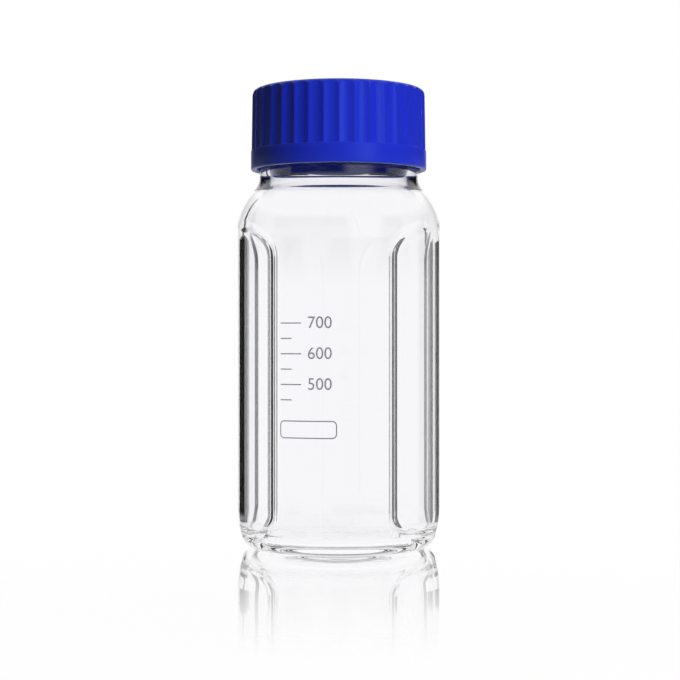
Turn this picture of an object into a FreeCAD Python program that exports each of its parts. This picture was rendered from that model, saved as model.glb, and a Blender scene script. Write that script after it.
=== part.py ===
import FreeCAD, Part
import math
import os
import Sketcher

doc = FreeCAD.newDocument("wide_mouth_bottle")

# Driving sizes in millimetres and degrees

DRIVING = [
    ("body_dia", 101.0),
    ("body_wall", 3.7),
    ("glass_height", 222.0),
    ("base_thick", 5.0),
    ("base_rise", 2.5),
    ("foot_ring", 3.5),
    ("heel_small", 7.5),
    ("heel_big", 45.0),
    ("heel_top", 20.0),
    ("heel_inside", 10.0),
    ("shoulder_round", 30.0),
    ("neck_wall", 3.5),
    ("neck_round", 8.9),
    ("collar_step", 1.35),
    ("collar_length", 5.0),
    ("lip_step", 1.5),
    ("lip_length", 5.0),
    ("lip_edge", 0.8),
    ("grip_front", 34.0),
    ("grip_before", 44.0),
    ("grip_after", 36.0),
    ("grip_step", 3.4),
    ("grip_crown", 0.1),
    ("grip_bottom", 10.0),
    ("grip_gap", 1.0),
    ("grip_corner", 14.0),
    ("grip_rear_corner", 8.0),
    ("grip_margin", 2.0),
    ("thread_crest_dia", 80.0),
    ("thread_lead", 12.0),
    ("thread_drop", 28.0),
    ("thread_lift", 4.4),
    ("thread_end_gap", 5.0),
    ("thread_clear", 0.8),
    ("ridge_height", 2.0),
    ("ridge_foot", 3.2),
    ("ridge_crest", 1.6),
    ("ridge_bury", 0.5),
    ("cap_wall", 2.8),
    ("cap_height", 40.0),
    ("cap_top_thick", 2.0),
    ("cap_edge_round", 3.0),
    ("cap_band", 9.5),
    ("cap_lead_in", 0.8),
    ("band_step", 0.3),
    ("flute_count", 36),
    ("flute_depth", 0.6),
    ("flute_round", 10.5),
    ("flute_draft", 0.4),
    ("cap_ridge_foot", 2.8),
    ("cap_ridge_crest", 1.4),
    ("cap_ridge_drop", 2.55),
    ("cap_ridge_lift", 4.45),
    ("cap_ridge_rise", 14.0),
    ("liner_gap", 0.6),
    ("liner_thick", 1.8),
    ("ring_thick", 1.2),
    ("ring_wall", 1.4),
    ("ring_gap", 0.3),
    ("ring_rise", 0.6),
]

# Sizes worked out from the driving ones

DERIVED = [
    ("body_r", "body_dia / 2"),
    ("inner_r", "body_r - body_wall"),
    ("heel_run", "sqrt((heel_big - heel_small)^2 - (heel_top - heel_small)^2)"),
    ("heel_centre_r", "body_r - heel_big"),
    ("foot_r", "heel_centre_r + heel_run"),
    ("foot_in_r", "foot_r - foot_ring"),
    ("heel_join_r", "heel_centre_r + heel_big * heel_run / (heel_big - heel_small)"),
    ("heel_join_z", "heel_top - heel_big * (heel_top - heel_small) / (heel_big - heel_small)"),
    ("dome_centre_z", "(base_rise^2 - foot_in_r^2) / (2 * base_rise)"),
    ("floor_r", "inner_r - heel_inside"),
    ("floor_mid_z", "base_thick + base_rise"),
    ("floor_centre_z", "base_thick + (base_rise^2 - floor_r^2) / (2 * base_rise)"),
    ("heel_inside_z", "base_thick + heel_inside"),
    ("ridge_crest_r", "thread_crest_dia / 2"),
    ("root_r", "ridge_crest_r - ridge_height"),
    ("neck_r", "root_r + collar_step"),
    ("thread_start", "glass_height - thread_drop"),
    ("collar_end_z", "thread_start - thread_lift"),
    ("collar_z", "collar_end_z - collar_step"),
    ("neck_z", "collar_z - collar_length"),
    ("shoulder_centre_r", "body_r - shoulder_round"),
    ("neck_centre_r", "neck_r + neck_round"),
    ("neck_sum", "shoulder_round + neck_round"),
    ("neck_across", "neck_centre_r - shoulder_centre_r"),
    ("neck_up", "sqrt(neck_sum^2 - neck_across^2)"),
    ("shoulder_height", "neck_z - neck_up"),
    ("neck_join_r", "shoulder_centre_r + shoulder_round * neck_across / neck_sum"),
    ("neck_join_z", "shoulder_height + shoulder_round * neck_up / neck_sum"),
    ("lip_r", "root_r - lip_step"),
    ("lip_low_z", "glass_height - lip_length"),
    ("lip_edge_r", "lip_r - lip_edge"),
    ("lip_edge_z", "glass_height - lip_edge"),
    ("mouth_r", "root_r - neck_wall"),
    ("mouth_edge_r", "mouth_r + lip_edge"),
    ("shoulder_inside", "shoulder_round - body_wall"),
    ("inside_centre_r", "inner_r - shoulder_inside"),
    ("mouth_round", "neck_round + body_wall"),
    ("mouth_centre_r", "mouth_r + mouth_round"),
    ("mouth_sum", "shoulder_inside + mouth_round"),
    ("mouth_across", "mouth_centre_r - inside_centre_r"),
    ("mouth_up", "sqrt(mouth_sum^2 - mouth_across^2)"),
    ("mouth_z", "shoulder_height + mouth_up"),
    ("mouth_join_r", "inside_centre_r + shoulder_inside * mouth_across / mouth_sum"),
    ("mouth_join_z", "shoulder_height + shoulder_inside * mouth_up / mouth_sum"),
    ("grip_top", "shoulder_height - grip_gap"),
    ("grip_length", "grip_top - grip_bottom"),
    ("grip_low_corner", "(heel_top - grip_bottom) * 0.9"),
    ("grip_turn", "270 + grip_front"),
    ("grip_span", "(grip_before + grip_after) * 1 deg"),
    ("grip_rise", "grip_before * 1 deg"),
    ("grip_fall", "grip_after * 1 deg"),
    ("grip_edge_r", "body_r - grip_step"),
    ("grip_crown_r", "body_r - grip_crown"),
    ("grip_sag", "grip_crown_r - grip_edge_r * cos(grip_rise)"),
    ("grip_chord", "grip_edge_r * sin(grip_rise)"),
    ("grip_round", "(grip_chord^2 + grip_sag^2) / (2 * grip_sag)"),
    ("grip_shift", "grip_crown_r - grip_round"),
    ("grip_shift_x", "grip_shift * cos(grip_rise)"),
    ("grip_shift_y", "grip_shift * sin(grip_rise)"),
    ("grip_end_r", "grip_shift * cos(grip_fall) + sqrt(grip_round^2 - (grip_shift * sin(grip_fall))^2)"),
    ("grip_end_x", "grip_end_r * cos(grip_span)"),
    ("grip_end_y", "grip_end_r * sin(grip_span)"),
    ("grip_far_r", "body_r * 1.5"),
    ("grip_far_x", "grip_far_r * cos(grip_span)"),
    ("grip_far_y", "grip_far_r * sin(grip_span)"),
    ("back_turn", "grip_turn - grip_margin"),
    ("back_rise", "grip_rise + grip_margin * 1 deg"),
    ("back_fall", "grip_fall + grip_margin * 1 deg"),
    ("back_span", "back_rise + back_fall"),
    ("back_round", "grip_round - body_wall"),
    ("back_edge_r", "grip_shift * cos(back_rise) + sqrt(back_round^2 - (grip_shift * sin(back_rise))^2)"),
    ("back_end_r", "grip_shift * cos(back_fall) + sqrt(back_round^2 - (grip_shift * sin(back_fall))^2)"),
    ("back_end_x", "back_end_r * cos(back_span)"),
    ("back_end_y", "back_end_r * sin(back_span)"),
    ("back_shift_x", "grip_shift * cos(back_rise)"),
    ("back_shift_y", "grip_shift * sin(back_rise)"),
    ("back_wall_r", "inner_r + body_wall / 4"),
    ("back_wall_x", "back_wall_r * cos(back_span)"),
    ("back_wall_y", "back_wall_r * sin(back_span)"),
    ("back_bottom", "grip_bottom - body_wall / 2"),
    ("back_length", "grip_length + body_wall"),
    ("ridge_foot_r", "root_r - ridge_bury"),
    ("ridge_foot_low", "thread_start - ridge_foot / 2"),
    ("ridge_foot_high", "thread_start + ridge_foot / 2"),
    ("ridge_crest_low", "thread_start - ridge_crest / 2"),
    ("ridge_crest_high", "thread_start + ridge_crest / 2"),
    ("thread_rise", "lip_low_z - thread_end_gap - thread_start"),
    ("ring_top_z", "glass_height + ring_thick"),
    ("ring_inner_r", "lip_r + ring_gap"),
    ("ring_outer_r", "ring_inner_r + ring_wall"),
    ("ring_low_z", "lip_low_z + ring_rise"),
    ("cap_seat_z", "ring_top_z + liner_thick"),
    ("cap_top_height", "cap_seat_z + cap_top_thick"),
    ("cap_low_z", "cap_top_height - cap_height"),
    ("cap_band_z", "cap_low_z + cap_band"),
    ("cap_bore_r", "ridge_crest_r + thread_clear"),
    ("cap_r", "cap_bore_r + cap_wall"),
    ("cap_lead_r", "cap_bore_r + cap_lead_in"),
    ("cap_lead_z", "cap_low_z + cap_lead_in"),
    ("flute_low_r", "cap_r - band_step"),
    ("flute_top_r", "flute_low_r - flute_draft"),
    ("cap_round_z", "cap_top_height - cap_edge_round"),
    ("cap_round_r", "flute_top_r - cap_edge_round"),
    ("flute_centre_r", "flute_low_r + flute_round - flute_depth"),
    ("flute_length", "cap_height - cap_band"),
    ("flute_lean", "atan(flute_draft / (cap_round_z - cap_band_z)) / 1 deg"),
    ("cap_ridge_z", "cap_low_z + cap_ridge_lift"),
    ("cap_ridge_turn", "360 * (1 + (cap_ridge_z + cap_ridge_drop - thread_start) / thread_lead)"),
    ("cap_ridge_foot_r", "cap_bore_r + ridge_bury"),
    ("cap_ridge_crest_r", "root_r + thread_clear"),
    ("cap_ridge_foot_low", "cap_ridge_z - cap_ridge_foot / 2"),
    ("cap_ridge_foot_high", "cap_ridge_z + cap_ridge_foot / 2"),
    ("cap_ridge_crest_low", "cap_ridge_z - cap_ridge_crest / 2"),
    ("cap_ridge_crest_high", "cap_ridge_z + cap_ridge_crest / 2"),
    ("liner_r", "cap_bore_r - liner_gap"),
]

sheet = doc.addObject("Spreadsheet::Sheet", "sizes")
row = 0
for alias, value in DRIVING:
    row += 1
    sheet.set("A%d" % row, alias)
    sheet.set("B%d" % row, str(value))
    sheet.setAlias("B%d" % row, alias)
for alias, formula in DERIVED:
    row += 1
    sheet.set("A%d" % row, alias)
    sheet.set("B%d" % row, "=" + formula)
    sheet.setAlias("B%d" % row, alias)
doc.recompute()


def size(alias):
    """Present value of one size; an empty name stands for the axis or the ground."""
    return float(sheet.get(alias)) if alias else 0.0


def bind(item, prop, alias):
    """Let one property of an object follow one size of the sheet."""
    item.setExpression(prop, "sizes." + alias)


def origin_of(body, name):
    """Base plane or base axis of a body by its role."""
    for feature in body.Origin.OriginFeatures:
        if feature.Role == name:
            return feature
    raise RuntimeError("no " + name + " in " + body.Label)


def new_body(label):
    body = doc.addObject("PartDesign::Body", label)
    body.Label = label
    return body


def new_sketch(body, name, plane):
    sketch = body.newObject("Sketcher::SketchObject", name)
    sketch.AttachmentSupport = [(origin_of(body, plane), "")]
    sketch.MapMode = "FlatFace"
    return sketch


def hold(sketch, direction, geometry, corner, alias):
    """Hold one point at a distance from the sketch's origin, or on its axis."""
    if not alias:
        axis = -2 if direction == "DistanceX" else -1
        sketch.addConstraint(Sketcher.Constraint("PointOnObject", geometry, corner, axis))
        return
    rule = Sketcher.Constraint(direction, -1, 1, geometry, corner, size(alias))
    index = sketch.addConstraint(rule)
    sketch.setExpression("Constraints[%d]" % index, "sizes." + alias)


def arc_between(start, end, centre):
    """Arc from start to end round a centre; tells whether it runs against the clock."""
    first = math.atan2(start.y - centre.y, start.x - centre.x)
    last = math.atan2(end.y - centre.y, end.x - centre.x)
    turn = (start - centre).cross(end - centre).z
    circle = Part.Circle(centre, FreeCAD.Vector(0, 0, 1), (start - centre).Length)
    if turn > 0:
        return Part.ArcOfCircle(circle, first, last), True
    return Part.ArcOfCircle(circle, last, first), False


def draw_outline(sketch, outline):
    """Closed outline; each step is a point and how the line leaves it.

    A step is (radius, height) for a straight line, or (radius, height, centre radius,
    centre height, held) for an arc, where held names the centre's held direction.
    """
    points = [FreeCAD.Vector(size(step[0]), size(step[1]), 0) for step in outline]
    ends = []
    for number, step in enumerate(outline):
        start = points[number]
        end = points[(number + 1) % len(points)]
        if len(step) == 2:
            index = sketch.addGeometry(Part.LineSegment(start, end), False)
            ends.append((index, 1, 2))
            continue
        centre = FreeCAD.Vector(size(step[2]), size(step[3]), 0)
        arc, forward = arc_between(start, end, centre)
        index = sketch.addGeometry(arc, False)
        ends.append((index, 1, 2) if forward else (index, 2, 1))
    for number in range(len(outline)):
        index, _, last = ends[number]
        after, first, _ = ends[(number + 1) % len(ends)]
        sketch.addConstraint(Sketcher.Constraint("Coincident", index, last, after, first))
    for number, step in enumerate(outline):
        index, first, _ = ends[number]
        hold(sketch, "DistanceX", index, first, step[0])
        hold(sketch, "DistanceY", index, first, step[1])
        if len(step) == 5:
            direction, alias = ("DistanceX", step[2]) if step[4] == "r" else ("DistanceY", step[3])
            hold(sketch, direction, index, 3, alias)


def turned(body, name, outline):
    """Outline turned fully round the upright axis."""
    sketch = new_sketch(body, name + "_outline", "XZ_Plane")
    draw_outline(sketch, outline)
    feature = body.newObject("PartDesign::Revolution", name)
    feature.Profile = sketch
    feature.ReferenceAxis = (sketch, ["V_Axis"])
    feature.Angle = 360.0
    sketch.Visibility = False
    doc.recompute()
    return feature


def plan_sketch(body, name, height, turn=None):
    """Level sketch at a height, turned about the upright axis."""
    sketch = new_sketch(body, name + "_outline", "XY_Plane")
    angle = size(turn) if turn else 0.0
    sketch.AttachmentOffset = FreeCAD.Placement(
        FreeCAD.Vector(0, 0, size(height)), FreeCAD.Rotation(FreeCAD.Vector(0, 0, 1), angle))
    bind(sketch, "AttachmentOffset.Base.z", height)
    if turn:
        bind(sketch, "AttachmentOffset.Rotation.Angle", turn)
    return sketch


def upright(body, kind, name, sketch, length):
    """Level outline drawn upward over a length, as glass added or taken away."""
    feature = body.newObject(kind, name)
    feature.Profile = sketch
    feature.Type = "Length"
    feature.Length = size(length)
    feature.Reversed = kind == "PartDesign::Pocket"
    bind(feature, "Length", length)
    sketch.Visibility = False
    body.Tip = feature
    doc.recompute()
    return feature


def repeated(body, name, features, count):
    """Full circle of equal copies round the upright axis."""
    pattern = body.newObject("PartDesign::PolarPattern", name)
    pattern.Originals = features
    pattern.Axis = (origin_of(body, "Z_Axis"), [""])
    pattern.Angle = 360.0
    if isinstance(count, str):
        pattern.Occurrences = int(size(count))
        bind(pattern, "Occurrences", count)
    else:
        pattern.Occurrences = count
    body.Tip = pattern
    doc.recompute()
    return pattern


def mirrored(body, name, features):
    """Copy on the other side of the plane between left and right."""
    copy = body.newObject("PartDesign::Mirrored", name)
    copy.Originals = features
    copy.MirrorPlane = (origin_of(body, "YZ_Plane"), [""])
    body.Tip = copy
    doc.recompute()
    return copy


def grip_corners(shape, end, front):
    """Names of the short edges at the grips' corners at one end, on the front or the rear."""
    names = []
    for number, edge in enumerate(shape.Edges):
        first = edge.Vertexes[0].Point
        last = edge.Vertexes[-1].Point
        at_end = max(abs(first.z - size(end)), abs(last.z - size(end))) < 1e-6
        radial = abs(first.cross(last).z) < 1e-3
        on_side = (first.y < 0) == front
        if at_end and radial and on_side and edge.Length > 1e-3:
            names.append("Edge%d" % (number + 1))
    return names


def rounded(body, name, edges, radius):
    """Edges of the body's last feature rounded to one radius."""
    last = body.Tip
    feature = body.newObject("PartDesign::Fillet", name)
    feature.Base = (last, edges)
    feature.Radius = size(radius)
    bind(feature, "Radius", radius)
    body.Tip = feature
    doc.recompute()
    return feature


def thread(body, name, outline, rise, turn=None):
    """Right-hand two-start ridge that climbs the upright axis from a start angle."""
    sketch = new_sketch(body, name + "_outline", "XZ_Plane")
    if turn:
        sketch.AttachmentOffset = FreeCAD.Placement(
            FreeCAD.Vector(0, 0, 0), FreeCAD.Rotation(FreeCAD.Vector(0, 1, 0), size(turn)))
        bind(sketch, "AttachmentOffset.Rotation.Angle", turn)
    draw_outline(sketch, outline)
    ridge = body.newObject("PartDesign::AdditiveHelix", name)
    ridge.Profile = sketch
    ridge.ReferenceAxis = (sketch, ["V_Axis"])
    ridge.Mode = 0
    ridge.Pitch = size("thread_lead")
    ridge.Height = size(rise)
    ridge.Angle = 0
    ridge.LeftHanded = False
    ridge.Reversed = False
    bind(ridge, "Pitch", "thread_lead")
    bind(ridge, "Height", rise)
    sketch.Visibility = False
    body.Tip = ridge
    doc.recompute()
    return repeated(body, name + "_starts", [ridge], 2)


# Glass bottle: blown wall, two grip hollows and the neck thread

glass = new_body("glass_bottle")
turned(glass, "glass_wall", [
    ("", "base_rise", "", "dome_centre_z", "r"),
    ("foot_in_r", ""),
    ("foot_r", "", "foot_r", "heel_small", "r"),
    ("heel_join_r", "heel_join_z", "heel_centre_r", "heel_top", "z"),
    ("body_r", "heel_top"),
    ("body_r", "shoulder_height", "shoulder_centre_r", "shoulder_height", "z"),
    ("neck_join_r", "neck_join_z", "neck_centre_r", "neck_z", "z"),
    ("neck_r", "neck_z"),
    ("neck_r", "collar_z"),
    ("root_r", "collar_end_z"),
    ("root_r", "lip_low_z"),
    ("lip_r", "lip_low_z"),
    ("lip_r", "lip_edge_z"),
    ("lip_edge_r", "glass_height"),
    ("mouth_edge_r", "glass_height"),
    ("mouth_r", "lip_edge_z"),
    ("mouth_r", "mouth_z", "mouth_centre_r", "mouth_z", "z"),
    ("mouth_join_r", "mouth_join_z", "inside_centre_r", "shoulder_height", "z"),
    ("inner_r", "shoulder_height"),
    ("inner_r", "heel_inside_z", "floor_r", "heel_inside_z", "z"),
    ("floor_r", "base_thick", "", "floor_centre_z", "r"),
    ("", "floor_mid_z"),
])
back_plan = plan_sketch(glass, "grip_back", "back_bottom", "back_turn")
draw_outline(back_plan, [
    ("back_edge_r", ""),
    ("back_wall_r", "", "", "", "r"),
    ("back_wall_x", "back_wall_y"),
    ("back_end_x", "back_end_y", "back_shift_x", "back_shift_y", "r"),
])
grip_back = upright(glass, "PartDesign::Pad", "grip_back", back_plan, "back_length")
mirrored(glass, "grip_back_pair", [grip_back])
face_plan = plan_sketch(glass, "grip_face", "grip_bottom", "grip_turn")
draw_outline(face_plan, [
    ("grip_edge_r", ""),
    ("grip_far_r", ""),
    ("grip_far_x", "grip_far_y"),
    ("grip_end_x", "grip_end_y", "grip_shift_x", "grip_shift_y", "r"),
])
grip_face = upright(glass, "PartDesign::Pocket", "grip_face", face_plan, "grip_length")
mirrored(glass, "grip_face_pair", [grip_face])
for name, end, front, radius in (
        ("grip_front_tops", "grip_top", True, "grip_corner"),
        ("grip_front_ends", "grip_bottom", True, "grip_low_corner"),
        ("grip_rear_tops", "grip_top", False, "grip_rear_corner")):
    rounded(glass, name, grip_corners(glass.Tip.Shape, end, front), radius)
thread(glass, "neck_thread", [
    ("ridge_foot_r", "ridge_foot_low"),
    ("ridge_crest_r", "ridge_crest_low"),
    ("ridge_crest_r", "ridge_crest_high"),
    ("ridge_foot_r", "ridge_foot_high"),
], "thread_rise")

# Pouring ring: plastic channel pressed over the glass lip

ring = new_body("pouring_ring")
turned(ring, "ring_channel", [
    ("mouth_edge_r", "glass_height"),
    ("ring_inner_r", "glass_height"),
    ("ring_inner_r", "ring_low_z"),
    ("ring_outer_r", "ring_low_z"),
    ("ring_outer_r", "ring_top_z"),
    ("mouth_edge_r", "ring_top_z"),
])

# Seal liner: loose disc under the cap's top

liner = new_body("seal_liner")
turned(liner, "liner_disc", [
    ("", "ring_top_z"),
    ("liner_r", "ring_top_z"),
    ("liner_r", "cap_seat_z"),
    ("", "cap_seat_z"),
])

# Screw cap: fluted shell with a plain band and its own thread

cap = new_body("screw_cap")
turned(cap, "cap_shell", [
    ("", "cap_seat_z"),
    ("cap_bore_r", "cap_seat_z"),
    ("cap_bore_r", "cap_lead_z"),
    ("cap_lead_r", "cap_low_z"),
    ("cap_r", "cap_low_z"),
    ("cap_r", "cap_band_z"),
    ("flute_low_r", "cap_band_z"),
    ("flute_top_r", "cap_round_z", "cap_round_r", "cap_round_z", "z"),
    ("cap_round_r", "cap_top_height"),
    ("", "cap_top_height"),
])
flute_sketch = plan_sketch(cap, "flute", "cap_band_z")
flute_circle = Part.Circle(
    FreeCAD.Vector(size("flute_centre_r"), 0, 0), FreeCAD.Vector(0, 0, 1), size("flute_round"))
flute_sketch.addGeometry(flute_circle, False)
hold(flute_sketch, "DistanceX", 0, 3, "flute_centre_r")
hold(flute_sketch, "DistanceY", 0, 3, "")
flute_radius = flute_sketch.addConstraint(Sketcher.Constraint("Radius", 0, size("flute_round")))
flute_sketch.setExpression("Constraints[%d]" % flute_radius, "sizes.flute_round")
flute = upright(cap, "PartDesign::Pocket", "flute", flute_sketch, "flute_length")
flute.TaperAngle = size("flute_lean")
bind(flute, "TaperAngle", "flute_lean")
doc.recompute()
repeated(cap, "flutes", [flute], "flute_count")
thread(cap, "cap_thread", [
    ("cap_ridge_crest_r", "cap_ridge_crest_low"),
    ("cap_ridge_foot_r", "cap_ridge_foot_low"),
    ("cap_ridge_foot_r", "cap_ridge_foot_high"),
    ("cap_ridge_crest_r", "cap_ridge_crest_high"),
], "cap_ridge_rise", "cap_ridge_turn")

# Check every object, then write one file per piece

PIECES = [glass, ring, liner, cap]
doc.recompute()
for item in doc.Objects:
    if "Invalid" in item.State or "Error" in item.State:
        raise RuntimeError("not built: " + item.Label)
os.makedirs("parts", exist_ok=True)
for piece in PIECES:
    shape = piece.Shape
    if shape.isNull() or not shape.isValid() or len(shape.Solids) != 1:
        raise RuntimeError("bad shape: " + piece.Label)
    shape.exportStep("parts/" + piece.Label + ".step")
    box = shape.BoundBox
    print("%-14s volume %9.0f  z %.2f to %.2f  x %.2f to %.2f" % (
        piece.Label, shape.Volume, box.ZMin, box.ZMax, box.XMin, box.XMax))
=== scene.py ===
import math
import bpy
import numpy as np
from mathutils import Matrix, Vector

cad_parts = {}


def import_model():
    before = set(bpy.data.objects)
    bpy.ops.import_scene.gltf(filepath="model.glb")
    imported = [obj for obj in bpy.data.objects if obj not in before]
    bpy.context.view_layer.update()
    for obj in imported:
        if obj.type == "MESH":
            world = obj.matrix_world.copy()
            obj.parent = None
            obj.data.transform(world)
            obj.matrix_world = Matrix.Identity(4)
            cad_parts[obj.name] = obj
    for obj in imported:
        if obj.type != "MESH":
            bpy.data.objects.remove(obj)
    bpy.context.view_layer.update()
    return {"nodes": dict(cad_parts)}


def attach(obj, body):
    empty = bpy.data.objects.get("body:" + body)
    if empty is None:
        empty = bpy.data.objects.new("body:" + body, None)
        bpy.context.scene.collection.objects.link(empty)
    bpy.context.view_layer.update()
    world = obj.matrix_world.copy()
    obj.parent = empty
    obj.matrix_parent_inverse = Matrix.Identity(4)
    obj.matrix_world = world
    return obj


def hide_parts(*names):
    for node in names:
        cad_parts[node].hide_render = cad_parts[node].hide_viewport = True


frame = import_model()

MM = 0.001
FULL_TURN = 2 * math.pi
TINY = 1e-6

# Sizes of the glass, in millimetres, as in the solids

BODY_R = 50.5
WALL = 3.7
RIM_Z = 222.0
BASE_THICK = 5.0
BASE_RISE = 2.5
FOOT_RING = 3.5
HEEL_SMALL = 7.5
HEEL_BIG = 45.0
HEEL_TOP = 20.0
HEEL_INSIDE = 10.0
SHOULDER_ROUND = 30.0
SHOULDER_INSIDE = 26.3
NECK_R = 39.35
NECK_Z = 183.25
NECK_ROUND = 8.9
COLLAR = 5.0
ROOT_R = 38.0
MOUTH_R = 34.5
MOUTH_ROUND = 12.6
LIP_R = 36.5
LIP_LENGTH = 5.0
LIP_EDGE = 0.8

# Grip hollows: places round the bottle in degrees from its front, sizes in millimetres
# Their soft slopes and arched ends are the scene's own; the solids have filleted steps

GRIP_FRONT = 31.2
GRIP_REAR = 114.0
GRIP_CROWN_AT = 78.0
GRIP_EDGE_AT = 34.0
GRIP_LOW = 3.5
GRIP_LOW_SPRING = 19.0
GRIP_HIGH_SPRING = 142.0
GRIP_HIGH = 163.0
GRIP_STEP = 3.6
GRIP_CROWN = 0.1
GRIP_SLOPE = 5.5
GRIP_SLOPE_REAR = 8.0
GRIP_SLOPE_END = 10.0
GRIP_SLOPE_INSIDE = 12.0
GRIP_FOLLOW = 20.0

# Fineness of the glass mesh: wider rows between two heights, narrower columns at the grips' edges

WIDE_ROWS_LOW = 30.0
WIDE_ROWS_HIGH = 135.0
PLAIN_COLUMN = 1.5
EDGE_COLUMN = 0.35
EDGE_INSET = 3.0
EDGE_ZONE = 8.0

# Threads of the neck and of the cap; a thread fades in and out over a small share of a turn

LEAD = 12.0
STARTS = 2
THREAD_FADE = 0.04
NECK_RIDGE = {"start": 194.0, "rise": 18.0, "height": 2.0, "crest": 1.6, "foot": 3.2}
CAP_RIDGE = {"start": 191.45, "rise": 14.0, "height": -2.0, "crest": 1.4, "foot": 2.8}

# Sizes of the cap, with flutes a little deeper than the solids' and sharper ridges between them

CAP_LOW = 187.0
CAP_TOP = 227.0
CAP_SEAT = 225.0
CAP_R = 43.6
CAP_BAND = 196.5
CAP_BORE = 40.8
CAP_MOUTH = 0.8
CAP_ROUND = 3.0
CAP_LIP = 0.6
BAND_EDGE = 0.2
FLUTE_LOW_R = 43.3
FLUTE_TOP_R = 42.9
FLUTES = 36
FLUTE_DEPTH = 0.8
FLUTE_ROUND = 9.6
FLUTE_COLUMNS = 14

# Edges that bend more than these angles, in degrees, are shaded as sharp

GLASS_SHARP = 30.0
CAP_SHARP = 24.0


# Paths and meshes

def arc(centre, radius, first, last, steps):
    """Points on an arc from one angle to another, both in degrees."""
    angles = np.radians(np.linspace(first, last, steps + 1))
    return [(centre[0] + radius * math.cos(a), centre[1] + radius * math.sin(a)) for a in angles]


def run(start, end, steps):
    """Points on a straight line."""
    return [tuple(p) for p in np.linspace(start, end, steps + 1)]


def shallow(start, end, steps):
    """Shallow bowl between two points, level where it meets the axis."""
    middle, edge = (start, end) if start[0] == 0 else (end, start)
    points = []
    for t in np.linspace(0, 1, steps + 1):
        r = start[0] + (end[0] - start[0]) * t
        points.append((r, edge[1] + (middle[1] - edge[1]) * (1 - (r / edge[0]) ** 2)))
    return points


def join(*stretches):
    """One path from several, without doubled points."""
    path = []
    for stretch in stretches:
        for point in stretch:
            if not path or math.dist(path[-1], point) > TINY:
                path.append(point)
    return path


def smooth_step(x):
    """Rise from 0 to 1 that starts and ends very gently."""
    x = np.clip(x, 0, 1)
    return x * x * x * (x * (6 * x - 15) + 10)


def slope_step(x):
    """Rise from 0 to 1 that is straight over most of its length, with rounded ends."""
    x = np.clip(x, 0, 1)
    return x * x * (3 - 2 * x)


def columns_with(step, zones):
    """Angles round the axis with a plain step, and finer steps inside some zones."""
    angles = set(np.round(np.arange(-180, 180, step), 4))
    for low, high, fine in zones:
        angles = {a for a in angles if not low < a < high}
        angles |= set(np.round(np.arange(low, high, fine), 4))
    return np.radians(sorted(angles))


def turned(name, path, angles, change, sharp):
    """Mesh of a path turned round the upright axis; change moves the radius from place to place."""
    r = np.array([p[0] for p in path])[:, None] * np.ones(len(angles))[None, :]
    z = np.array([p[1] for p in path])[:, None] * np.ones(len(angles))[None, :]
    turn = np.ones(len(path))[:, None] * np.array(angles)[None, :]
    r = change(r, z, turn)
    columns = len(angles)
    verts = []
    rows = []
    for i in range(len(path)):
        if path[i][0] < TINY:
            rows.append([len(verts)] * columns)
            verts.append((0, 0, path[i][1] * MM))
            continue
        rows.append(list(range(len(verts), len(verts) + columns)))
        for j in range(columns):
            x = r[i, j] * math.sin(turn[i, j]) * MM
            y = -r[i, j] * math.cos(turn[i, j]) * MM
            verts.append((x, y, z[i, j] * MM))
    faces = []
    for low, high in zip(rows, rows[1:]):
        for j in range(columns):
            k = (j + 1) % columns
            corners = []
            for v in (low[j], low[k], high[k], high[j]):
                if v not in corners:
                    corners.append(v)
            if len(corners) > 2:
                faces.append(corners)
    mesh = bpy.data.meshes.new(name)
    mesh.from_pydata(verts, [], faces)
    mesh.validate()
    for polygon in mesh.polygons:
        polygon.use_smooth = True
    mesh.set_sharp_from_angle(angle=math.radians(sharp))
    obj = bpy.data.objects.new(name, mesh)
    bpy.context.collection.objects.link(obj)
    return obj


def ridge(angle, z, spec):
    """Height of a right-hand thread ridge at a place on the wall."""
    from_side = angle - math.pi / 2
    height = np.zeros_like(z)
    turns = spec["rise"] / LEAD
    slope = (spec["foot"] - spec["crest"]) / 2
    for start in range(STARTS):
        base = np.mod(from_side / FULL_TURN - start / STARTS, 1.0)
        for lap in range(int(math.ceil(turns)) + 1):
            t = base + lap
            off = np.abs(z - spec["start"] - LEAD * t)
            shape = np.clip((spec["foot"] / 2 - off) / slope, 0, 1)
            fade = smooth_step(t / THREAD_FADE) * smooth_step((turns - t) / THREAD_FADE)
            height = np.maximum(height, shape * np.where(t <= turns, fade, 0))
    return height * spec["height"]


# Glass bottle with its grip hollows and neck thread

def grip_mask(angle, z, inside):
    """1 in the floor of a grip hollow, 0 outside it, with a slope between; its ends are arches."""
    front = BODY_R * math.radians(GRIP_FRONT)
    rear = BODY_R * math.radians(GRIP_REAR)
    half_wide = (rear - front) / 2
    across = BODY_R * np.abs(angle) - (front + rear) / 2
    above = (z - GRIP_HIGH_SPRING) / (GRIP_HIGH - GRIP_HIGH_SPRING)
    below = (GRIP_LOW_SPRING - z) / (GRIP_LOW_SPRING - GRIP_LOW)
    along = half_wide * np.maximum(0, np.maximum(above, below))
    reach = np.maximum(np.hypot(across, along), TINY)
    side = np.where(across < 0, GRIP_SLOPE, GRIP_SLOPE_REAR)
    slope = side + (GRIP_SLOPE_END - side) * (along / reach) ** 2
    if not inside:
        return slope_step((half_wide - reach) / slope)
    beyond = np.degrees(np.abs(angle)) - GRIP_CROWN_AT
    followed = slope_step(0.5 - beyond / GRIP_FOLLOW)
    return followed * slope_step((half_wide - reach) / np.maximum(slope, GRIP_SLOPE_INSIDE))


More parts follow.
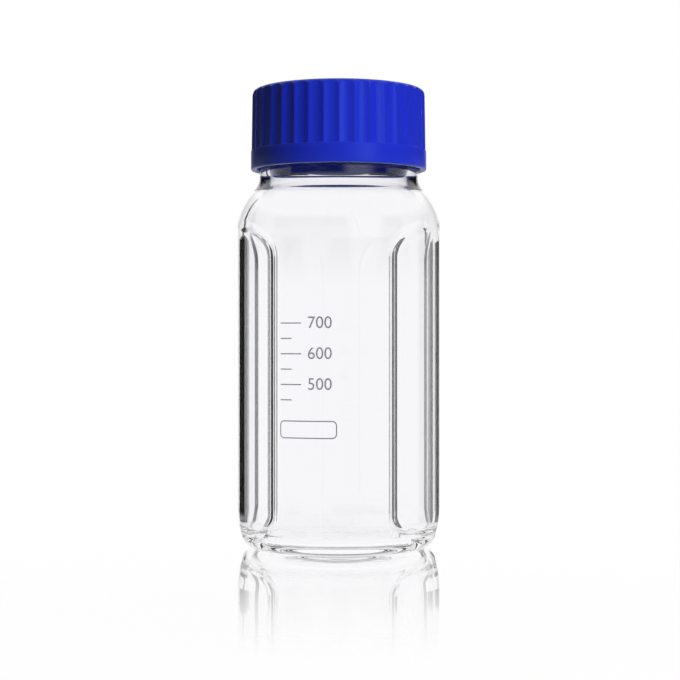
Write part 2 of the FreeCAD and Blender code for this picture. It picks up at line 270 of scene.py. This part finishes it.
def grip_depth(angle):
    """Depth of a grip's floor: a rounder wall set off the axis, deepest at the front edge."""
    edge_r = BODY_R - GRIP_STEP
    crown_r = BODY_R - GRIP_CROWN
    spread = math.radians(GRIP_CROWN_AT - GRIP_EDGE_AT)
    rise = crown_r - edge_r * math.cos(spread)
    radius = ((edge_r * math.sin(spread)) ** 2 + rise ** 2) / (2 * rise)
    shift = crown_r - radius
    away = np.clip(np.abs(angle) - math.radians(GRIP_CROWN_AT), -spread, spread)
    return BODY_R - shift * np.cos(away) - np.sqrt(radius ** 2 - (shift * np.sin(away)) ** 2)


def glass_path():
    """Outline of the glass, outside from the base up and inside back down, and the thread's ends."""
    heel_run = math.sqrt((HEEL_BIG - HEEL_SMALL) ** 2 - (HEEL_TOP - HEEL_SMALL) ** 2)
    heel_r = BODY_R - HEEL_BIG
    foot_r = heel_r + heel_run
    heel_tilt = math.degrees(math.asin((HEEL_TOP - HEEL_SMALL) / (HEEL_BIG - HEEL_SMALL)))
    shoulder_r = BODY_R - SHOULDER_ROUND
    across = NECK_R + NECK_ROUND - shoulder_r
    up = math.sqrt((SHOULDER_ROUND + NECK_ROUND) ** 2 - across ** 2)
    lean = math.degrees(math.atan2(up, across))
    shoulder_z = NECK_Z - up
    inner_r = BODY_R - WALL
    inside_r = inner_r - SHOULDER_INSIDE
    in_across = MOUTH_R + MOUTH_ROUND - inside_r
    in_up = math.sqrt((SHOULDER_INSIDE + MOUTH_ROUND) ** 2 - in_across ** 2)
    in_lean = math.degrees(math.atan2(in_up, in_across))
    mouth_z = shoulder_z + in_up
    floor_r = inner_r - HEEL_INSIDE
    floor_z = BASE_THICK + HEEL_INSIDE
    collar_z = NECK_Z + COLLAR
    root_z = collar_z + NECK_R - ROOT_R
    lip_z = RIM_Z - LIP_LENGTH
    outer = join(
        shallow((0, BASE_RISE), (foot_r - FOOT_RING, 0), 10),
        run((foot_r - FOOT_RING, 0), (foot_r, 0), 2),
        arc((foot_r, HEEL_SMALL), HEEL_SMALL, -90, -heel_tilt, 14),
        arc((heel_r, HEEL_TOP), HEEL_BIG, -heel_tilt, 0, 22),
        run((BODY_R, HEEL_TOP), (BODY_R, WIDE_ROWS_LOW), 16),
        run((BODY_R, WIDE_ROWS_LOW), (BODY_R, WIDE_ROWS_HIGH), 21),
        run((BODY_R, WIDE_ROWS_HIGH), (BODY_R, shoulder_z), 34),
        arc((shoulder_r, shoulder_z), SHOULDER_ROUND, 0, lean, 40),
        arc((NECK_R + NECK_ROUND, NECK_Z), NECK_ROUND, 180 + lean, 180, 20),
        run((NECK_R, NECK_Z), (NECK_R, collar_z), 4),
        run((NECK_R, collar_z), (ROOT_R, root_z), 3),
        run((ROOT_R, root_z), (ROOT_R, lip_z), 72),
    )
    inner = join(
        run((LIP_R, lip_z), (LIP_R, RIM_Z - LIP_EDGE), 3),
        arc((LIP_R - LIP_EDGE, RIM_Z - LIP_EDGE), LIP_EDGE, 0, 90, 5),
        run((LIP_R - LIP_EDGE, RIM_Z), (MOUTH_R + LIP_EDGE, RIM_Z), 1),
        arc((MOUTH_R + LIP_EDGE, RIM_Z - LIP_EDGE), LIP_EDGE, 90, 180, 5),
        run((MOUTH_R, RIM_Z - LIP_EDGE), (MOUTH_R, mouth_z), 8),
        arc((MOUTH_R + MOUTH_ROUND, mouth_z), MOUTH_ROUND, 180, 180 + in_lean, 14),
        arc((inside_r, shoulder_z), SHOULDER_INSIDE, in_lean, 0, 36),
        run((inner_r, shoulder_z), (inner_r, WIDE_ROWS_HIGH), 34),
        run((inner_r, WIDE_ROWS_HIGH), (inner_r, WIDE_ROWS_LOW), 21),
        run((inner_r, WIDE_ROWS_LOW), (inner_r, floor_z), 16),
        arc((floor_r, floor_z), HEEL_INSIDE, 0, -90, 22),
        shallow((floor_r, BASE_THICK), (0, BASE_THICK + BASE_RISE), 10),
    )
    return outer, inner, root_z, lip_z


def glass_bottle():
    outer, inner, root_z, lip_z = glass_path()
    count = len(outer)
    zones = []
    for side in (-1, 1):
        for edge in (GRIP_FRONT + EDGE_INSET, GRIP_REAR - EDGE_INSET):
            zones.append((side * edge - EDGE_ZONE, side * edge + EDGE_ZONE, EDGE_COLUMN))
    angles = columns_with(PLAIN_COLUMN, zones)

    def change(r, z, turn):
        signed = np.mod(turn + math.pi, FULL_TURN) - math.pi
        hollow = grip_mask(signed, z, False)
        hollow[count:] = grip_mask(signed, z, True)[count:]
        r = r - grip_depth(signed) * hollow * (r > NECK_R)
        thread = np.zeros_like(r)
        on_root = (z > root_z - TINY) & (z < lip_z + TINY)
        on_root[count:] = False
        thread[on_root] = ridge(turn[on_root], z[on_root], NECK_RIDGE)
        return r + thread

    obj = turned("bottle_glass", outer + inner, angles, change, GLASS_SHARP)
    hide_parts("glass_bottle")
    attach(obj, "vessel")
    obj.data.materials.append(glass_material())


# Printed scale: plain numbers, level marks and an empty field, just under the glass surface
# Marks and numbers are placed across from the numbers' left edge, which stands at PRINT_AT degrees

PRINT_R = 50.45
PRINT_AT = -12.5
PRINT_STEP = 14.5
PRINT_LOW = 81.7
PRINT_LABELS = ["500", "600", "700"]
PRINT_TEXT = 8.0
PRINT_LINE = 0.55
MARK_FROM = -14.0
LONG_MARK_TO = -3.0
SHORT_MARK_TO = -8.0
FIELD = {"wide": 28.0, "high": 8.0, "corner": 2.0, "z": 60.5}


def flat_number(text, height):
    """Triangles of a number in a plain built-in face, with its left edge at 0."""
    curve = bpy.data.curves.new("number", "FONT")
    curve.body = text
    curve.size = height
    curve.align_x = "LEFT"
    curve.align_y = "CENTER"
    obj = bpy.data.objects.new("number", curve)
    bpy.context.collection.objects.link(obj)
    final = obj.evaluated_get(bpy.context.evaluated_depsgraph_get())
    mesh = bpy.data.meshes.new_from_object(final)
    points = [(v.co.x, v.co.y) for v in mesh.vertices]
    faces = [list(f.vertices) for f in mesh.polygons]
    bpy.data.objects.remove(obj)
    bpy.data.curves.remove(curve)
    bpy.data.meshes.remove(mesh)
    return points, faces


def flat_stroke(path, width, closed=False):
    """Strip of a width along a path of points."""
    points = []
    count = len(path)
    for i in range(count):
        before = path[(i - 1) % count] if closed or i > 0 else path[i]
        after = path[(i + 1) % count] if closed or i < count - 1 else path[i]
        along = (after[0] - before[0], after[1] - before[1])
        length = math.hypot(along[0], along[1])
        side = (-along[1] / length * width / 2, along[0] / length * width / 2)
        points.append((path[i][0] + side[0], path[i][1] + side[1]))
        points.append((path[i][0] - side[0], path[i][1] - side[1]))
    faces = []
    for i in range(count if closed else count - 1):
        k = (i + 1) % count
        faces.append([2 * i, 2 * i + 1, 2 * k + 1, 2 * k])
    return points, faces


def field_path():
    """Rounded rectangle round its middle; the last arc stops just before the first point."""
    corner = FIELD["corner"]
    wide = FIELD["wide"] / 2 - corner
    high = FIELD["high"] / 2 - corner
    return join(
        run((-wide, -high - corner), (wide, -high - corner), 24),
        arc((wide, -high), corner, -90, 0, 6),
        arc((wide, high), corner, 0, 90, 6),
        run((wide, high + corner), (-wide, high + corner), 24),
        arc((-wide, high), corner, 90, 180, 6),
        arc((-wide, -high), corner, 180, 269, 6),
    )


def printed_scale():
    long_mark = flat_stroke(run((MARK_FROM, 0), (LONG_MARK_TO, 0), 8), PRINT_LINE)
    short_mark = flat_stroke(run((MARK_FROM, 0), (SHORT_MARK_TO, 0), 4), PRINT_LINE)
    marks = []
    for number, label in enumerate(PRINT_LABELS):
        z = PRINT_LOW + number * PRINT_STEP
        marks.append((long_mark, z))
        marks.append((flat_number(label, PRINT_TEXT), z))
        marks.append((short_mark, z - PRINT_STEP / 2))
    marks.append((flat_stroke(field_path(), PRINT_LINE, closed=True), FIELD["z"]))
    verts = []
    faces = []
    for (points, parts), z in marks:
        first = len(verts)
        for u, v in points:
            angle = math.radians(PRINT_AT) + u / PRINT_R
            x = PRINT_R * math.sin(angle) * MM
            y = -PRINT_R * math.cos(angle) * MM
            verts.append((x, y, (z + v) * MM))
        faces += [[first + k for k in part] for part in parts]
    mesh = bpy.data.meshes.new("printed_scale")
    mesh.from_pydata(verts, [], faces)
    mesh.materials.append(print_material())
    obj = bpy.data.objects.new("printed_scale", mesh)
    bpy.context.collection.objects.link(obj)
    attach(obj, "vessel")


# Cap, with flutes outside and a thread inside

def cap_path():
    """Outline of the cap: its inside, its plain band and its fluted part with the top."""
    bore = run((CAP_BORE, CAP_SEAT), (CAP_BORE, CAP_LOW + CAP_MOUTH), 110)
    inside = join(run((0, CAP_SEAT), (CAP_BORE, CAP_SEAT), 3), bore)
    band = join(
        run((CAP_BORE + CAP_MOUTH, CAP_LOW), (CAP_R - CAP_LIP, CAP_LOW), 1),
        arc((CAP_R - CAP_LIP, CAP_LOW + CAP_LIP), CAP_LIP, -90, 0, 6),
        run((CAP_R, CAP_LOW + CAP_LIP), (CAP_R, CAP_BAND - BAND_EDGE), 2),
        arc((CAP_R - BAND_EDGE, CAP_BAND - BAND_EDGE), BAND_EDGE, 0, 90, 3),
    )
    fluted = join(
        run((FLUTE_LOW_R, CAP_BAND), (FLUTE_TOP_R, CAP_TOP - CAP_ROUND), 8),
        arc((FLUTE_TOP_R - CAP_ROUND, CAP_TOP - CAP_ROUND), CAP_ROUND, 0, 90, 10),
        run((FLUTE_TOP_R - CAP_ROUND, CAP_TOP), (0, CAP_TOP), 4),
    )
    return inside, band, fluted


def screw_cap():
    inside, band, fluted = cap_path()
    first_fluted = len(inside) + len(band)
    columns = FLUTES * FLUTE_COLUMNS
    angles = np.arange(columns) * FULL_TURN / columns
    pitch = FULL_TURN / FLUTES

    def change(r, z, turn):
        away = np.mod(turn + pitch / 2, pitch) - pitch / 2
        centre = FLUTE_LOW_R + FLUTE_ROUND - FLUTE_DEPTH
        scoop = centre * np.cos(away) - np.sqrt(FLUTE_ROUND ** 2 - (centre * np.sin(away)) ** 2)
        climb = np.clip((z - CAP_BAND) / (CAP_TOP - CAP_ROUND - CAP_BAND), 0, 1)
        scoop = scoop - (FLUTE_LOW_R - FLUTE_TOP_R) * climb
        r[first_fluted:] = np.minimum(r, scoop)[first_fluted:]
        thread = np.zeros_like(r)
        on_bore = np.abs(r - CAP_BORE) < TINY
        thread[on_bore] = ridge(turn[on_bore], z[on_bore], CAP_RIDGE)
        return r + thread

    obj = turned("cap_shell", inside + band + fluted, angles, change, CAP_SHARP)
    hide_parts("screw_cap")
    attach(obj, "cap")
    obj.data.materials.append(cap_material())


# Materials of the object

def new_material(name):
    material = bpy.data.materials.new(name)
    material.use_nodes = True
    return material, material.node_tree, material.node_tree.nodes["Principled BSDF"]


def grain(tree, shader, scale, strength, distance):
    """Fine uneven surface from noise in the object's own space."""
    place = tree.nodes.new("ShaderNodeTexCoord")
    noise = tree.nodes.new("ShaderNodeTexNoise")
    noise.inputs["Scale"].default_value = scale
    noise.inputs["Detail"].default_value = 3.0
    bump = tree.nodes.new("ShaderNodeBump")
    bump.inputs["Strength"].default_value = strength
    bump.inputs["Distance"].default_value = distance
    tree.links.new(place.outputs["Object"], noise.inputs["Vector"])
    tree.links.new(noise.outputs["Fac"], bump.inputs["Height"])
    tree.links.new(bump.outputs["Normal"], shader.inputs["Normal"])
    return noise


def mottle(tree, shader, noise, dark, light):
    """Colour that drifts between two close tones with the noise."""
    ramp = tree.nodes.new("ShaderNodeValToRGB")
    ramp.color_ramp.elements[0].color = dark
    ramp.color_ramp.elements[1].color = light
    tree.links.new(noise.outputs["Fac"], ramp.inputs["Fac"])
    tree.links.new(ramp.outputs["Color"], shader.inputs["Base Color"])


def glass_material():
    material, tree, shader = new_material("clear_glass")
    shader.inputs["Base Color"].default_value = (0.962, 0.961, 0.974, 1)
    shader.inputs["Roughness"].default_value = 0.0
    shader.inputs["IOR"].default_value = 1.473
    shader.inputs["Transmission Weight"].default_value = 1.0
    grain(tree, shader, scale=30.0, strength=0.02, distance=0.0002)
    return material


def cap_material():
    material, tree, shader = new_material("cap_plastic")
    noise = grain(tree, shader, scale=1800.0, strength=0.12, distance=0.0001)
    mottle(tree, shader, noise, dark=(0.006, 0.015, 0.42, 1), light=(0.009, 0.021, 0.50, 1))
    shader.inputs["Roughness"].default_value = 0.37
    shader.inputs["Specular IOR Level"].default_value = 0.42
    shader.inputs["Specular Tint"].default_value = (0.6, 0.95, 1.0, 1)
    return material


def print_material():
    material, tree, shader = new_material("print_enamel")
    noise = grain(tree, shader, scale=1500.0, strength=0.1, distance=0.0001)
    mottle(tree, shader, noise, dark=(0.44, 0.43, 0.52, 1), light=(0.50, 0.49, 0.58, 1))
    shader.inputs["Roughness"].default_value = 0.6
    return material


def ring_material():
    material, tree, shader = new_material("ring_plastic")
    shader.inputs["Base Color"].default_value = (0.01, 0.025, 0.5, 1)
    shader.inputs["Roughness"].default_value = 0.3
    grain(tree, shader, scale=900.0, strength=0.08, distance=0.0001)
    return material


def seal_material():
    material, tree, shader = new_material("seal_rubber")
    shader.inputs["Base Color"].default_value = (0.72, 0.72, 0.70, 1)
    shader.inputs["Roughness"].default_value = 0.6
    grain(tree, shader, scale=700.0, strength=0.1, distance=0.0001)
    return material


# Camera at the photograph's viewing angle

CAMERA_DISTANCE = 0.847
CAMERA_HEIGHT = 0.1027
CAMERA_AZIMUTH = math.radians(4.5)
SENSOR_WIDTH = 36.0
FOCAL_PIXELS = 1700.0
IMAGE_PIXELS = 680.0
AXIS_PIXEL = 338.6


def camera():
    data = bpy.data.cameras.new("camera")
    data.sensor_width = SENSOR_WIDTH
    data.lens = SENSOR_WIDTH * FOCAL_PIXELS / IMAGE_PIXELS
    data.shift_x = (IMAGE_PIXELS / 2 - AXIS_PIXEL) / IMAGE_PIXELS
    obj = bpy.data.objects.new("camera", data)
    x = CAMERA_DISTANCE * math.sin(CAMERA_AZIMUTH)
    y = -CAMERA_DISTANCE * math.cos(CAMERA_AZIMUTH)
    obj.location = (x, y, CAMERA_HEIGHT)
    obj.rotation_euler = (math.pi / 2, 0, CAMERA_AZIMUTH)
    bpy.context.collection.objects.link(obj)
    bpy.context.scene.camera = obj


# Nodes that the stage's materials share

WHITE = (1, 1, 1, 1)


def empty_material(name):
    material = bpy.data.materials.new(name)
    material.use_nodes = True
    material.node_tree.nodes.clear()
    return material, material.node_tree


def math_node(tree, operation, first, second, clamp=False):
    """Result of one operation on two values, each of them a socket or a plain number."""
    node = tree.nodes.new("ShaderNodeMath")
    node.operation = operation
    node.use_clamp = clamp
    for place, value in enumerate((first, second)):
        if isinstance(value, float):
            node.inputs[place].default_value = value
        else:
            tree.links.new(value, node.inputs[place])
    return node.outputs[0]


def ranged(tree, value, source, target):
    """Value carried from one range to another and held at its ends."""
    node = tree.nodes.new("ShaderNodeMapRange")
    node.inputs["From Min"].default_value = source[0]
    node.inputs["From Max"].default_value = source[1]
    node.inputs["To Min"].default_value = target[0]
    node.inputs["To Max"].default_value = target[1]
    tree.links.new(value, node.inputs["Value"])
    return node.outputs[0]


def mixed(tree, share, first, second):
    """First shader where the share is 0, second where it is 1."""
    node = tree.nodes.new("ShaderNodeMixShader")
    tree.links.new(share, node.inputs["Fac"])
    tree.links.new(first, node.inputs[1])
    tree.links.new(second, node.inputs[2])
    return node.outputs[0]


def seen_directly(tree):
    """1 for camera, mirror and glass rays, 0 for light that falls on surfaces."""
    path = tree.nodes.new("ShaderNodeLightPath")
    mirrored = math_node(tree, "MAXIMUM", path.outputs["Is Camera Ray"], path.outputs["Is Glossy Ray"])
    return math_node(tree, "MAXIMUM", mirrored, path.outputs["Is Transmission Ray"])


# World: a white surround where it is seen, hardly any light on surfaces

AMBIENT_COLOUR = (0.95, 0.97, 1.0, 1)
AMBIENT_LEVEL = 0.01


def world():
    made = bpy.data.worlds.new("studio")
    made.use_nodes = True
    bpy.context.scene.world = made
    tree = made.node_tree
    tree.nodes.clear()
    output = tree.nodes.new("ShaderNodeOutputWorld")
    shown = tree.nodes.new("ShaderNodeBackground")
    shown.inputs["Color"].default_value = WHITE
    ambient = tree.nodes.new("ShaderNodeBackground")
    ambient.inputs["Color"].default_value = AMBIENT_COLOUR
    ambient.inputs["Strength"].default_value = AMBIENT_LEVEL
    surround = mixed(tree, seen_directly(tree), ambient.outputs[0], shown.outputs[0])
    tree.links.new(surround, output.inputs["Surface"])


# Floor: white where it is seen, a little less near the bottle, where it keeps the shadow
# Its polish mirrors at low angles and fades out in front of the bottle

FLOOR_SIZE = 6.0
FLOOR_TONE = 0.9
FLOOR_BOUNCE = 0.1
GLOW_SPAN = (0.1, 0.5)
GLOW_NEAR = 0.94
POLISH_IOR = 1.5
POLISH_ROUGHNESS = 0.03
POLISH_POWER = 2.5
POLISH_SPAN = (-0.30, -0.08)
POLISH_MOST = 5.0


def floor_material():
    material, tree = empty_material("floor_white")
    output = tree.nodes.new("ShaderNodeOutputMaterial")
    place = tree.nodes.new("ShaderNodeTexCoord").outputs["Object"]
    seen = seen_directly(tree)
    plain = tree.nodes.new("ShaderNodeBsdfDiffuse")
    tone = ranged(tree, seen, (0.0, 1.0), (FLOOR_BOUNCE, FLOOR_TONE))
    tree.links.new(tone, plain.inputs["Color"])
    glow = tree.nodes.new("ShaderNodeEmission")
    glow.inputs["Color"].default_value = WHITE
    glow.inputs["Strength"].default_value = 1.0
    reach = tree.nodes.new("ShaderNodeVectorMath")
    reach.operation = "LENGTH"
    tree.links.new(place, reach.inputs[0])
    spread = ranged(tree, reach.outputs["Value"], GLOW_SPAN, (GLOW_NEAR, 1.0))
    share = math_node(tree, "MULTIPLY", seen, spread)
    base = mixed(tree, share, plain.outputs[0], glow.outputs[0])
    gloss = tree.nodes.new("ShaderNodeBsdfGlossy")
    gloss.inputs["Color"].default_value = WHITE
    gloss.inputs["Roughness"].default_value = POLISH_ROUGHNESS
    fresnel = tree.nodes.new("ShaderNodeFresnel")
    fresnel.inputs["IOR"].default_value = POLISH_IOR
    keen = math_node(tree, "POWER", fresnel.outputs[0], POLISH_POWER)
    split = tree.nodes.new("ShaderNodeSeparateXYZ")
    tree.links.new(place, split.inputs[0])
    fade = ranged(tree, split.outputs["Y"], POLISH_SPAN, (0.0, POLISH_MOST))
    mirror = math_node(tree, "MULTIPLY", keen, fade, clamp=True)
    surface = mixed(tree, mirror, base, gloss.outputs[0])
    tree.links.new(surface, output.inputs["Surface"])
    return material


def floor():
    mesh = bpy.data.meshes.new("floor")
    half = FLOOR_SIZE / 2
    corners = [(-half, -half, 0), (half, -half, 0), (half, half, 0), (-half, half, 0)]
    mesh.from_pydata(corners, [], [(0, 1, 2, 3)])
    obj = bpy.data.objects.new("floor", mesh)
    bpy.context.collection.objects.link(obj)
    obj.data.materials.append(floor_material())


# Lamps, which light surfaces and aren't seen in gloss or glass

def lamp(name, place, target, size, watts):
    data = bpy.data.lights.new(name, "AREA")
    data.shape = "RECTANGLE"
    data.size = size[0]
    data.size_y = size[1]
    data.energy = watts
    obj = bpy.data.objects.new(name, data)
    obj.location = place
    aim = Vector(target) - Vector(place)
    obj.rotation_euler = aim.to_track_quat("-Z", "Y").to_euler()
    bpy.context.collection.objects.link(obj)
    obj.visible_camera = False
    obj.visible_glossy = False
    obj.visible_transmission = False


def lamps():
    lamp("key_lamp", place=(0.72, -0.83, 0.42), target=(0, 0, 0.15), size=(0.4, 0.8), watts=15.0)
    lamp("fill_lamp", place=(-0.3, -1.35, 0.45), target=(0, 0, 0.15), size=(0.8, 0.8), watts=1.0)
    lamp("top_lamp", place=(0.0, 0.1, 1.4), target=(0, 0, 0.1), size=(1.0, 1.0), watts=1.5)
    lamp("back_lamp", place=(0.1, 1.3, 0.6), target=(0, 0, 0.15), size=(0.6, 0.8), watts=12.0)


# Screens: standing stage pieces that the camera doesn't see and that cast no shadow
# Their angles are in degrees to the right, from straight behind the bottle as the camera looks
# Dark cards behind the bottle draw the dark lines in the glass: (tone, [(angle, height), ...])
# A dim round wall keeps the gloss on cap and neck calm: rows of (height, share of white), and gaps

CARD_REACH = 1.25
CARDS = [
    (0.01, [(-53, 0.225), (-42.3, 0.23), (-42.2, 0.78), (-37.2, 0.78), (-37.1, 0.23), (-24.5, 0.225)]),
    (0.01, [(15.7, 0.235), (23.7, 0.225)]),
    (0.02, [(25.8, 0.225), (36.5, 0.22)]),
    (0.01, [(44.2, 0.225), (53, 0.22)]),
]
WALL_REACH = 1.3
WALL_TONE = 0.02
WALL_STEP = 2
WALL_FRONT = (100, 260)
WALL_ROWS = [
    (0.17, 1.0),
    (0.19, 0.75),
    (0.22, 0.45),
    (0.26, 0.15),
    (0.30, 0.0),
    (0.55, 0.0),
    (0.65, 0.3),
    (0.80, 1.0),
]
WALL_GAPS = [{"at": 0, "half": 18, "soft": 12}, {"at": 150, "half": 10, "soft": 20}]


def screen_material(name, glass_only):
    """Faint glow in the mesh's tone; glass_only keeps it out of what the floor alone mirrors."""
    material, tree = empty_material(name)
    output = tree.nodes.new("ShaderNodeOutputMaterial")
    shade = tree.nodes.new("ShaderNodeAttribute")
    shade.attribute_name = "tone"
    glow = tree.nodes.new("ShaderNodeEmission")
    tree.links.new(shade.outputs["Color"], glow.inputs["Color"])
    surface = glow.outputs[0]
    if glass_only:
        path = tree.nodes.new("ShaderNodeLightPath")
        again = math_node(tree, "SUBTRACT", path.outputs["Glossy Depth"], 1.0)
        sharp = math_node(tree, "MAXIMUM", again, path.outputs["Is Singular Ray"])
        shown = math_node(tree, "MAXIMUM", sharp, path.outputs["Transmission Depth"])
        clear = tree.nodes.new("ShaderNodeBsdfTransparent")
        surface = mixed(tree, shown, clear.outputs[0], surface)
    tree.links.new(surface, output.inputs["Surface"])
    return material


def screen(name, reach, columns, through, material):
    """Standing screen round the bottle; each column has an angle and rows of (height, tone)."""
    verts = []
    tones = []
    for angle, rows in columns:
        x = reach * math.sin(math.radians(angle) - CAMERA_AZIMUTH)
        y = reach * math.cos(math.radians(angle) - CAMERA_AZIMUTH)
        for height, tone in rows:
            verts.append((x, y, height))
            tones.append(tone)
    count = len(columns[0][1])
    faces = []
    for i in range(len(columns) - 1):
        for j in range(count - 1):
            k = i * count + j
            faces.append((k, k + count, k + count + 1, k + 1))
    mesh = bpy.data.meshes.new(name)
    mesh.from_pydata(verts, [], faces)
    colours = mesh.attributes.new("tone", "FLOAT_COLOR", "POINT")
    for place, tone in enumerate(tones):
        colours.data[place].color = (tone, tone, tone, 1)
    mesh.materials.append(material)
    obj = bpy.data.objects.new(name, mesh)
    bpy.context.collection.objects.link(obj)
    obj.visible_camera = False
    obj.visible_diffuse = False
    obj.visible_shadow = False
    obj.visible_transmission = through


def cards():
    material = screen_material("card", True)
    for number, (tone, tops) in enumerate(CARDS):
        columns = [(angle, [(0, tone), (top, tone)]) for angle, top in tops]
        screen("card_%d" % number, CARD_REACH, columns, True, material)


def wall_tone(angle, white):
    """Dim all round, white in the gaps."""
    for gap in WALL_GAPS:
        away = abs((angle - gap["at"] + 180) % 360 - 180)
        white = max(white, smooth_step((gap["half"] + gap["soft"] - away) / gap["soft"]))
    return WALL_TONE + (1 - WALL_TONE) * white


def round_wall():
    """Wall in two parts, of which glass shows only the one on the camera's side."""
    material = screen_material("wall", False)
    first, last = WALL_FRONT
    parts = [("front_wall", first, last, True), ("rear_wall", last, first + 360, False)]
    for name, start, end, through in parts:
        columns = []
        for angle in range(start, end + 1, WALL_STEP):
            columns.append((angle, [(height, wall_tone(angle, white)) for height, white in WALL_ROWS]))
        screen(name, WALL_REACH, columns, through, material)


# Everything in its place

LIGHT_BOUNCES = 40
MIRROR_BOUNCES = 16

glass_bottle()
printed_scale()
screw_cap()
for node, material in (("pouring_ring", ring_material()), ("seal_liner", seal_material())):
    piece = frame["nodes"][node]
    piece.data.materials.clear()
    piece.data.materials.append(material)
world()
floor()
lamps()
cards()
round_wall()
camera()
bpy.context.scene.view_settings.view_transform = "Standard"
bpy.context.scene.cycles.max_bounces = LIGHT_BOUNCES
bpy.context.scene.cycles.glossy_bounces = MIRROR_BOUNCES
bpy.context.scene.cycles.transmission_bounces = LIGHT_BOUNCES
